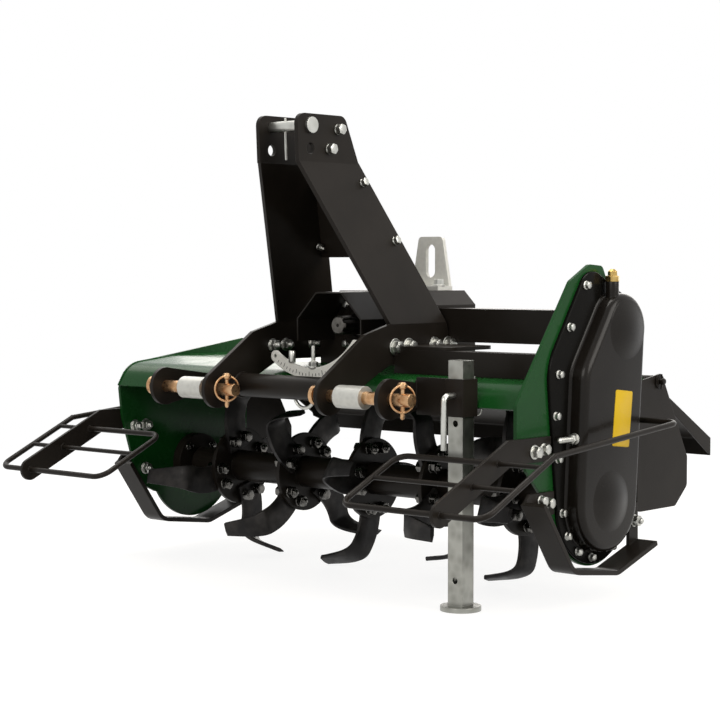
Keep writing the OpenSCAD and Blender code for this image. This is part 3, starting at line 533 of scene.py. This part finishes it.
def case_bolts():
    """Bolts of the chain case, the guards and the skids, and the chain tensioner."""
    bolts = Piece("case_bolts", ZINC)
    places = [(-14, 533), (-60, 464), (-90, 387), (-98, 319), (-92, 248), (113, 214), (117, 300), (120, 396),
              (108, 506)]
    row_r = 97
    places += [(ROTOR_Y + row_r * math.cos(math.radians(a)), ROTOR_Z + row_r * math.sin(math.radians(a)))
               for a in (188, 213, 238, 263, 300, 335)]
    for n, (y, z) in enumerate(places):
        bolts.bolt(mm(PLATE_OUT, y, z), RIGHT, 11, 15, turn=31 * n)
    bolts.done()
    guard = Piece("guard_bolts", ZINC)
    skid = Piece("skid_bolts", ZINC)
    for side, axis, back in ((1, RIGHT, LEFT), (-1, LEFT, RIGHT)):
        guard.bolt(mm(side * PLATE_OUT, -156, 264), axis, 17, 24, turn=10)
        guard.bolt(mm(side * PLATE_OUT, -131, 267), axis, 15, 20, turn=40)
        guard.bolt(mm(side * PANEL_IN, -141, 252), back, 17, 24, 6)
        guard.bolt(mm(side * PANEL_IN, -113, 252), back, 17, 24, 6, turn=25)
        skid.bolt(mm(side * PLATE_OUT, -138, 183), axis, 15, 19, turn=5)
        skid.bolt(mm(side * PLATE_OUT, -118, 178), axis, 15, 18, turn=28)
        skid.bolt(mm(side * PANEL_IN, -114, 166), back, 17, 24, 6)
        skid.bolt(mm(side * PLATE_OUT, 135, 124), axis, 17, 22, 6)
    guard.done()
    skid.done()
    tight = Piece("chain_tensioner", ZINC)
    at = mm(PANEL_OUT + 20, -62, 280)
    tight.lathe([(9.5, 0), (9.5, 2.4), (7, 2.4)], at, FRONT)
    tight.hexagon(15, 2.3, 12, at, FRONT, 10)
    profile, h = thread(5.0, 4.4, 12.0, 44)
    tight.lathe(profile + [(4.2, h), (2.6, h + 2), (0.6, h + 2.4)], at, FRONT, 20)
    tight.done()


# Left face of the gearbox's round cap, thickness of the lug's foot and length of the boss round the shaft
BOX_CAP_X, LUG_T, BOSS_L = -92.0, 8.0, 12.0


def drive_fittings():
    """Gearbox bolts and plug, the chain case's filler nut, the input shaft's seal, and a black disc of
    painted shade for the shaft's centre hole.
    """
    box = Piece("gearbox_bolts", ZINC)
    row_r = 49
    for k in range(6):
        t = math.radians(60 * k + 15)
        place = mm(BOX_CAP_X, SHAFT_Y + row_r * math.cos(t), SHAFT_Z + row_r * math.sin(t))
        box.bolt(place, LEFT, 11, 14, turn=20 * k)
    for x in (HITCH_X - 12, HITCH_X + 60):
        box.bolt(mm(x, 99, BOX_TOP + LUG_T), UP, 17, 24, turn=14)
    for x in (-44, 44):
        for z in (-36, 36):
            box.bolt(mm(HITCH_X + x, BOX_FRONT, SHAFT_Z + z), FRONT, 11, 15, turn=12)
    box.done()
    plug = Piece("filler_plug", BRASS)
    at = mm(HITCH_X - 55, 60, BOX_TOP)
    plug.hexagon(22, 0, 7, at, UP)
    plug.lathe([(9, 6.5), (9, 12), (7.5, 13.5), (3, 14)], at, UP)
    plug.hexagon(22, -7, 3, mm(511, 46, 545.8), UP, 8)
    plug.done()
    seal = Piece("shaft_seal", BLACK)
    lip = [(34, 0), (34, 3), (31, 4.5), (24, 4.5), (22.5, 3), (22.5, 0)]
    seal.lathe(lip, mm(HITCH_X, BOX_FRONT - BOSS_L, SHAFT_Z), FRONT, 48, True)
    seal.done()
    # Thin black disc on the shaft's end: painted shade in place of its centre hole
    centre = Piece("shaft_centre_hole_shade", BLACK, "input_shaft")
    centre.lathe([(3.2, -0.2), (3.2, 0.15), (1.2, 0.2)], mm(HITCH_X, -114, SHAFT_Z), FRONT)
    centre.done()


def hitch_clips():
    """Linch pins of the lower pins, the clip of the top pin and the ring on the cross tube."""
    for name, x in (("linch_pin_right", 328.0), ("linch_pin_left", -79.0)):
        clip = Piece(name, GOLD)
        at = mm(x, HITCH_Y, HITCH_Z)
        clip.lathe([(1.5, -32), (3.4, -30), (4, -27), (4, 18), (6.5, 19.5), (7, 24), (6, 28), (3.5, 29.5)],
                   at, UP, 20)
        clip.wire([at + mm(-8, 0, 24), at + mm(8, 0, 24)], 3.2)
        side = Vector((0.43, 0.9, 0)).normalized()
        clip.wire(arc_points(at + mm(2, -2, 2), side, UP, 22, 90, 450, 48)[:-1], 1.9, 10, True)
        clip.done()
    top = Piece("top_pin_clip", ZINC)
    at = mm(20, -238, 807)
    top.wire([at + mm(0, y, z) for y, z in ((0, 15), (0, 4), (0, -16), (1, -40), (2, -58))], 2.0)
    bend = arc_points(at + mm(0, 8, -58), FRONT, DOWN, 6, 0, 200, 12)
    back = [at + mm(0, y, z) for y, z in ((15, -40), (13, -24), (14, -8), (12, 6))]
    top.wire([at + mm(0, 2, -58)] + bend + back, 2.0)
    top.done()
    ring = Piece("check_ring", ZINC)
    ring.wire(arc_points(mm(50, -222, 341), RIGHT, UP, 24, 0, 360, 40)[:-1], 3.2, 10, True)
    ring.done()


def stand_clips():
    """The hairpin clip on the stand's lock pin."""
    clip = Piece("stand_clip", ZINC)
    at = mm(386, -178, 354)
    clip.wire([mm(386, -186, 354), mm(386, -170, 354)], 4.9, 14)
    clip.wire([at + mm(x, 0, z) for x, z in ((6, 30), (6, 6), (7, -6), (8, -14))], 1.7)
    clip.wire([at + mm(x, 0, z) for x, z in ((-3, 26), (-2, 12), (-6, 0), (-2, -8), (2, -14))], 1.7)
    for dx in (2, 8):
        clip.wire(arc_points(at + mm(dx, dx - 4, -24), RIGHT, UP, 10, 0, 360, 28)[:-1], 1.7, 8, True)
    clip.done()


# Front face and middle of the arc plate, the arc's centre and radius, and the degrees from mark to mark
ARC_FRONT, ARC_MID = -178.0, -175.5
ARC_X, ARC_Z, ARC_R, ARC_STEP = HITCH_X - 10, 515.0, 140.0, 3.2


def arc_fittings():
    """Scale marks on the arc plate, and the stud and stop on it."""
    marks = Piece("arc_marks", BLACK)
    for k in range(-10, 15):
        t = math.radians(ARC_STEP * k)
        out = Vector((math.sin(t), 0, -math.cos(t)))
        side = Vector((math.cos(t), 0, math.sin(t)))
        inset, half = (3.0, 2.5) if k % 4 else (1.0, 4.0)
        mid = mm(ARC_X, ARC_FRONT, ARC_Z) + out * (ARC_R + inset) / 1000
        marks.slab([(-0.5, -half), (0.5, -half), (0.5, half), (-0.5, half)], mid, side, -out, 0.25)
    marks.done()
    stud = Piece("arc_stud", ZINC)
    at = mm(28, ARC_MID, 397)
    stud.lathe([(9, -12), (9, -9.8), (6, -9.8)], at, UP)
    stud.hexagon(15, -10, -1, at, UP, 10)
    profile, h = thread(4.0, 3.5, -1.0, 26, 1.4)
    stud.lathe(profile + [(2.5, h + 0.5)], at, UP, 18)
    stud.lathe([(6, -8), (6.5, -7), (6.5, 12), (5.5, 13.5), (2, 13.5)], mm(-24, ARC_MID, 400.5), UP)
    stud.done()


# Ends and axis of the flap's hinge rod
HINGE_END, HINGE_Y, HINGE_Z = 495.0, 217.0, 362.0


def hinge_ends():
    """Washers, rod ends and split pins at both ends of the flap's hinge rod."""
    ends = Piece("hinge_ends", BLACK)
    for side, axis in ((1, RIGHT), (-1, LEFT)):
        at = mm(side * HINGE_END, HINGE_Y, HINGE_Z)
        ends.lathe([(13, 0), (13, 2.2), (7, 2.2)], at, axis)
        ends.lathe([(5.9, 0), (5.9, 10), (4.6, 12), (1.5, 12.4)], at, axis)
        ends.wire([at + mm(side * 6, y, z) for y, z in ((-1, 13), (0, 0), (-2, -14))], 1.5, 8)
    ends.done()


# Turn of each flange in steps, the step in degrees, and the turn of the whole rotor at rest
TINE_TURNS = (0, 2, 4, 1, 0)
TINE_STEP = 18
TINE_LAG = 8.935902
TINES_EACH = 4
FLANGE_PITCH = 175.0
# First flange on which the tines' sides are swapped
TINE_SWAP = 3
# Radius of the bolt row, and radius and angle of the arc that sweeps a tine back
TINE_SEAT_R, TINE_SWEEP_R, TINE_SWEEP = 56.0, 111.0, 38.0
# Half the width and half the thickness of a tine at its root, and half a flange's thickness
TINE_HALF_W, TINE_HALF_T, FLANGE_HALF = 26.0, 4.0, 4.0
# Half the distance between the two bolts of a tine
TINE_BOLT_HALF = 16.0
# Share of a tine from which its back narrows, and by how much: evenly first, then more towards the tip
TAPER_FROM_SHARE, TAPER = 0.1, 8.0
TIP_FROM_SHARE, TIP_TAPER, TIP_POWER = 0.42, 18.0, 1.2
# Share from which the cutting edge is ground, the share over which it thins, and by how much on each side
GRIND_FROM_SHARE, GRIND_RUN_SHARE, GRIND = 0.3, 0.3, 3.2


def tine_places():
    """Flange place, turn in radians and side for every tine, as in the CAD."""
    middle = (len(TINE_TURNS) - 1) // 2
    for k, step in enumerate(TINE_TURNS):
        for j in range(TINES_EACH):
            turn = math.radians(TINE_LAG + 180 + (step + 0.5) * TINE_STEP + j * 360 / TINES_EACH)
            swapped = 1 if k >= TINE_SWAP else 0
            yield (k - middle) * FLANGE_PITCH, turn, 1 if (j + swapped) % 2 == 0 else -1


def tine_sections():
    """Rings of (x, y, z) in millimetres along one tine, which stands on +Z and bends to +X."""
    stations = [(0.0, 0.0, z, 0.0, 0.0) for z in (36.0, 46.0)]
    sweep_steps, bend_steps = 8, 16
    for i in range(sweep_steps + 1):
        a = math.radians(TINE_SWEEP * i / sweep_steps)
        y, z = TINE_SWEEP_R * (1 - math.cos(a)), TINE_SEAT_R + TINE_SWEEP_R * math.sin(a)
        stations.append((0.0, y, z, a, 0.0))
    a = math.radians(TINE_SWEEP)
    _, y0, z0, _, _ = stations[-1]
    p0, p1, p2, p3 = (Vector(p) for p in ((0, 0), (0, 25), (40, 27), (82.9, 34.7)))
    for i in range(1, bend_steps + 1):
        s = i / bend_steps
        r = 1 - s
        p = p0 * r ** 3 + p1 * 3 * s * r ** 2 + p2 * 3 * s * s * r + p3 * s ** 3
        d = (p1 - p0) * r ** 2 + (p2 - p1) * 2 * s * r + (p3 - p2) * s * s
        stations.append((p.x, y0 + p.y * math.sin(a), z0 + p.y * math.cos(a), a, math.atan2(d.x, d.y)))
    half = TINE_HALF_T
    rings = []
    for n, (x, y, z, sweep, bent) in enumerate(stations):
        s = n / (len(stations) - 1)
        tip = max(0.0, s - TIP_FROM_SHARE) / (1 - TIP_FROM_SHARE)
        back = TINE_HALF_W - TAPER * max(0.0, s - TAPER_FROM_SHARE) - TIP_TAPER * tip ** TIP_POWER
        edge = half - GRIND * min(1.0, max(0.0, (s - GRIND_FROM_SHARE) / GRIND_RUN_SHARE))
        ring = [(-TINE_HALF_W, -edge), (-14, -half), (0, -half), (back - 2, -half), (back, -2.5),
                (back, 2.5), (back - 2, half), (0, half), (-14, half), (-TINE_HALF_W, edge)]
        nx, na = math.cos(bent), -math.sin(bent)
        rings.append([(x + t * nx, y + w * math.cos(sweep) + t * na * math.sin(sweep),
                       z - w * math.sin(sweep) + t * na * math.cos(sweep)) for w, t in ring])
    return rings


def tine_blades():
    """All tines on their flanges, as one piece."""
    blades = Piece("tine_blades", TINE, "rotor")
    sections = tine_sections()
    seat = FLANGE_HALF + TINE_HALF_T
    for flange, turn, side in tine_places():
        c, s = math.cos(turn), math.sin(turn)
        blades.skin([[mm(flange + side * (seat + x), ROTOR_Y + y * c - z * s, ROTOR_Z + y * s + z * c)
                      for x, y, z in ring] for ring in sections])
    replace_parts(blades.done(50.0), "tines")


# Inner face of the rotor's end bearings
BEARING_IN = 466.0


def rotor_bolts():
    """Two bolts with nuts on every tine, and the bolts of the end bearings."""
    heads = Piece("tine_bolts", DARK_ZINC, "rotor")
    centre = mm(0, ROTOR_Y, ROTOR_Z)
    tine_face = FLANGE_HALF + 2 * TINE_HALF_T
    for n, (x, turn, side) in enumerate(tine_places()):
        c, s = math.cos(turn), math.sin(turn)
        for y in (-TINE_BOLT_HALF, TINE_BOLT_HALF):
            place = centre + mm(0, y * c - TINE_SEAT_R * s, y * s + TINE_SEAT_R * c)
            heads.bolt(place + mm(x + side * tine_face, 0, 0), (side, 0, 0), 19, 20, turn=13 * n)
            heads.bolt(place + mm(x - side * FLANGE_HALF, 0, 0), (-side, 0, 0), 19, 22, 6, turn=7 * n)
    heads.done()
    seats = Piece("bearing_bolts", DARK_ZINC)
    row_r = 45
    for side, axis in ((1, LEFT), (-1, RIGHT)):
        for q in range(4):
            t = math.radians(45 + 90 * q)
            place = centre + mm(side * BEARING_IN, row_r * math.cos(t), row_r * math.sin(t))
            seats.bolt(place, axis, 11, 15, turn=20 * q)
    seats.done()


# The sticker's width, height, corner radius and thickness in millimetres, and its lean in degrees
STICKER_W, STICKER_H, STICKER_R, STICKER_T = 51.0, 95.0, 4.0, 0.3
STICKER_LEAN = 6.3


def sticker():
    """The blank yellow sticker on the chain cover."""
    label = Piece("blank_sticker", YELLOW)
    lean = math.radians(STICKER_LEAN)
    label.slab(round_rect(STICKER_W, STICKER_H, STICKER_R), mm(CASE_FACE, 50, 308),
               (0, math.cos(lean), -math.sin(lean)), (0, math.sin(lean), math.cos(lean)), STICKER_T)
    label.done()


# Distance between the rings of a weld bead in metres
BEAD_STEP = 0.002
# A bead's least radius and its ripple as shares of its size, and the ripple's rate along the rings
BEAD_LEAST, BEAD_RIPPLE, BEAD_RATE = 0.82, 0.18, 1.3
# Axis of the hitch's cross tube, and the radius of the beads round its ends
TUBE_Y, TUBE_Z, TUBE_BEAD_R = -225.0, 352.0, 21.5
# Knee of the guards in (y, z), their slope in degrees, and how far down the slope the cross bars sit
GUARD_KNEE, GUARD_SLOPE, GUARD_RUNS = (-218.3, 267.0), 25.0, (35.0, 108.0, 195.0)


def bead(piece, points, size):
    """A weld bead with the ripple of its passes."""
    pts = [Vector(p) for p in points]
    fine = []
    for a, b in zip(pts, pts[1:]):
        n = max(2, int((b - a).length / BEAD_STEP))
        fine += [a.lerp(b, i / n) for i in range(n)]
    fine.append(pts[-1])
    count = len(fine)

    def radius(share):
        return size * (BEAD_LEAST + BEAD_RIPPLE * math.sin(share * count * BEAD_RATE) ** 2)
    piece.wire(fine, radius, 8)


def welds():
    """Weld beads on hitch, guards and stand, and along the deck's ends."""
    seams = Piece("weld_beads", BLACK)
    tube = mm(0, TUBE_Y, TUBE_Z)
    for x in (-100.0, 160.0):
        bead(seams, arc_points(tube + mm(x, 0, 0), REAR, UP, TUBE_BEAD_R, 0, 360, 60), 2.6)
    for x in (across_hitch(300), 300.0):
        for dx in (-4.0, 4.0):
            bead(seams, [mm(x + dx, -183, 333), mm(x + dx, -164, 364)], 2.4)
    slope = math.radians(GUARD_SLOPE)
    knee_y, knee_z = GUARD_KNEE
    for side in (1, -1):
        for run in GUARD_RUNS:
            at = mm(side * PLATE_OUT, knee_y - run * math.cos(slope), knee_z - run * math.sin(slope))
            for x in (0.0, -side * 6.0):
                bead(seams, arc_points(at + mm(x, 0, 0), REAR, UP, 5.2, 0, 360, 20), 1.7)
    for x, low, high in ((367, 320, 380), (304, 330, 376)):
        bead(seams, [mm(x, -221, low), mm(x, -221, high)], 2.2)
    seams.done()
    green = Piece("deck_seams", GREEN)
    for side in (1, -1):
        x = side * (PANEL_IN - 0.5)
        bead(green, [mm(x, *p) for p in DECK_PATH if p.x < 112], 2.4)
    green.done()


mast_bolts()
deck()
skids()
chain_case()
case_bolts()
drive_fittings()
hitch_clips()
stand_clips()
arc_fittings()
hinge_ends()
tine_blades()
rotor_bolts()
sticker()
welds()


# Studio

# Strength of the world as light
WORLD_LIGHT = 0.24
# The floor's size and its drop below the part in metres, its colour and roughness
FLOOR_SIZE, FLOOR_DROP = 30.0, 0.0005
FLOOR_COLOUR, FLOOR_ROUGHNESS = (0.4, 0.385, 0.36, 1.0), 0.9
# Distances in metres over which the floor runs out to plain white
FADE_FROM, FADE_TO = 1.0, 2.6
# Share of plain white in what is seen of the floor, and the strength of that white, near and far
SHARE_NEAR, SHARE_FAR = 0.5, 1.0
WHITE_NEAR, WHITE_FAR = 1.74, 1.0
LAMP_COLOUR = (1.0, 0.96, 0.9)
# Name, place, aim, size in metres and power in watts
LAMPS = (("key", (3.4, 0.4, 2.4), (0, 0, 0.4), (2.4, 2.4), 95),
         ("top", (-0.3, 0.2, 3.4), (0, 0, 0.4), (2.0, 1.2), 55),
         ("front", (0.9, -3.6, 2.4), (0, 0, 0.35), (2.2, 1.6), 50),
         ("back", (-1.6, 3.4, 1.5), (0, 0, 0.4), (4.0, 2.2), 60),
         ("left", (-2.4, 0.6, 2.3), (0, -0.1, 0.4), (1.8, 0.8), 10))


def seen_rays(tree):
    """One for rays from the camera and for those that gloss or glass sends on, zero for other light."""
    path = tree.nodes.new("ShaderNodeLightPath")
    seen = path.outputs["Is Camera Ray"]
    for kind in ("Is Glossy Ray", "Is Transmission Ray"):
        either = tree.nodes.new("ShaderNodeMath")
        either.operation = "MAXIMUM"
        tree.links.new(seen, either.inputs[0])
        tree.links.new(path.outputs[kind], either.inputs[1])
        seen = either.outputs[0]
    return seen


def build_world():
    """A dim white world as light, plain white where it is seen."""
    world = bpy.data.worlds.new("studio")
    bpy.context.scene.world = world
    world.use_nodes = True
    tree = world.node_tree
    lit = tree.nodes["Background"]
    lit.inputs["Color"].default_value = (1.0, 1.0, 1.0, 1.0)
    lit.inputs["Strength"].default_value = WORLD_LIGHT
    seen = tree.nodes.new("ShaderNodeBackground")
    seen.inputs["Color"].default_value = (1.0, 1.0, 1.0, 1.0)
    seen.inputs["Strength"].default_value = 1.0
    mix = tree.nodes.new("ShaderNodeMixShader")
    tree.links.new(seen_rays(tree), mix.inputs["Fac"])
    tree.links.new(lit.outputs["Background"], mix.inputs[1])
    tree.links.new(seen.outputs["Background"], mix.inputs[2])
    tree.links.new(mix.outputs["Shader"], tree.nodes["World Output"].inputs["Surface"])


def fade(tree, distance, near, far):
    """A value that runs from near to far with the distance from the middle of the floor."""
    node = tree.nodes.new("ShaderNodeMapRange")
    node.inputs["From Min"].default_value = FADE_FROM
    node.inputs["From Max"].default_value = FADE_TO
    node.inputs["To Min"].default_value = near
    node.inputs["To Max"].default_value = far
    tree.links.new(distance, node.inputs["Value"])
    return node.outputs["Result"]


def build_floor():
    """A pale floor that keeps the shadow near the object and is seen as plain white further out."""
    bpy.ops.mesh.primitive_plane_add(size=FLOOR_SIZE, location=(0, 0, -FLOOR_DROP))
    floor = bpy.context.object
    floor.name = "studio_floor"
    material = bpy.data.materials.new("studio_floor")
    material.use_nodes = True
    tree = material.node_tree
    bsdf = tree.nodes["Principled BSDF"]
    bsdf.inputs["Base Color"].default_value = FLOOR_COLOUR
    bsdf.inputs["Roughness"].default_value = FLOOR_ROUGHNESS
    white = tree.nodes.new("ShaderNodeEmission")
    coords = tree.nodes.new("ShaderNodeTexCoord")
    away = tree.nodes.new("ShaderNodeVectorMath")
    away.operation = "LENGTH"
    share = tree.nodes.new("ShaderNodeMath")
    share.operation = "MULTIPLY"
    mix = tree.nodes.new("ShaderNodeMixShader")
    tree.links.new(coords.outputs["Object"], away.inputs[0])
    tree.links.new(fade(tree, away.outputs["Value"], WHITE_NEAR, WHITE_FAR), white.inputs["Strength"])
    tree.links.new(seen_rays(tree), share.inputs[0])
    tree.links.new(fade(tree, away.outputs["Value"], SHARE_NEAR, SHARE_FAR), share.inputs[1])
    tree.links.new(share.outputs[0], mix.inputs["Fac"])
    tree.links.new(bsdf.outputs["BSDF"], mix.inputs[1])
    tree.links.new(white.outputs["Emission"], mix.inputs[2])
    tree.links.new(mix.outputs["Shader"], tree.nodes["Material Output"].inputs["Surface"])
    floor.data.materials.append(material)


def area_light(name, at, aim, size, power):
    """A soft rectangular lamp, turned to what it aims at."""
    light = bpy.data.lights.new(name, "AREA")
    light.shape = "RECTANGLE"
    light.size, light.size_y = size
    light.energy = power
    light.color = LAMP_COLOUR
    obj = bpy.data.objects.new(name, light)
    bpy.context.collection.objects.link(obj)
    obj.location = at
    obj.rotation_euler = (Vector(aim) - Vector(at)).to_track_quat("-Z", "Y").to_euler()


def build_camera():
    """The camera as fitted to the photograph."""
    turn, dip = math.radians(CAMERA_TURN), math.radians(CAMERA_DIP)
    look = Vector((-math.sin(turn) * math.cos(dip), math.cos(turn) * math.cos(dip), -math.sin(dip)))
    data = bpy.data.cameras.new("camera")
    data.sensor_width = SENSOR_MM
    data.sensor_fit = "HORIZONTAL"
    data.lens = FOCAL_PX / IMAGE_PX * SENSOR_MM
    camera = bpy.data.objects.new("camera", data)
    camera.location = CAMERA_AT
    camera.rotation_euler = look.to_track_quat("-Z", "Y").to_euler()
    bpy.context.collection.objects.link(camera)
    bpy.context.scene.camera = camera


build_world()
build_floor()
for lamp in LAMPS:
    area_light(*lamp)
build_camera()
bpy.context.scene.view_settings.view_transform = "Standard"
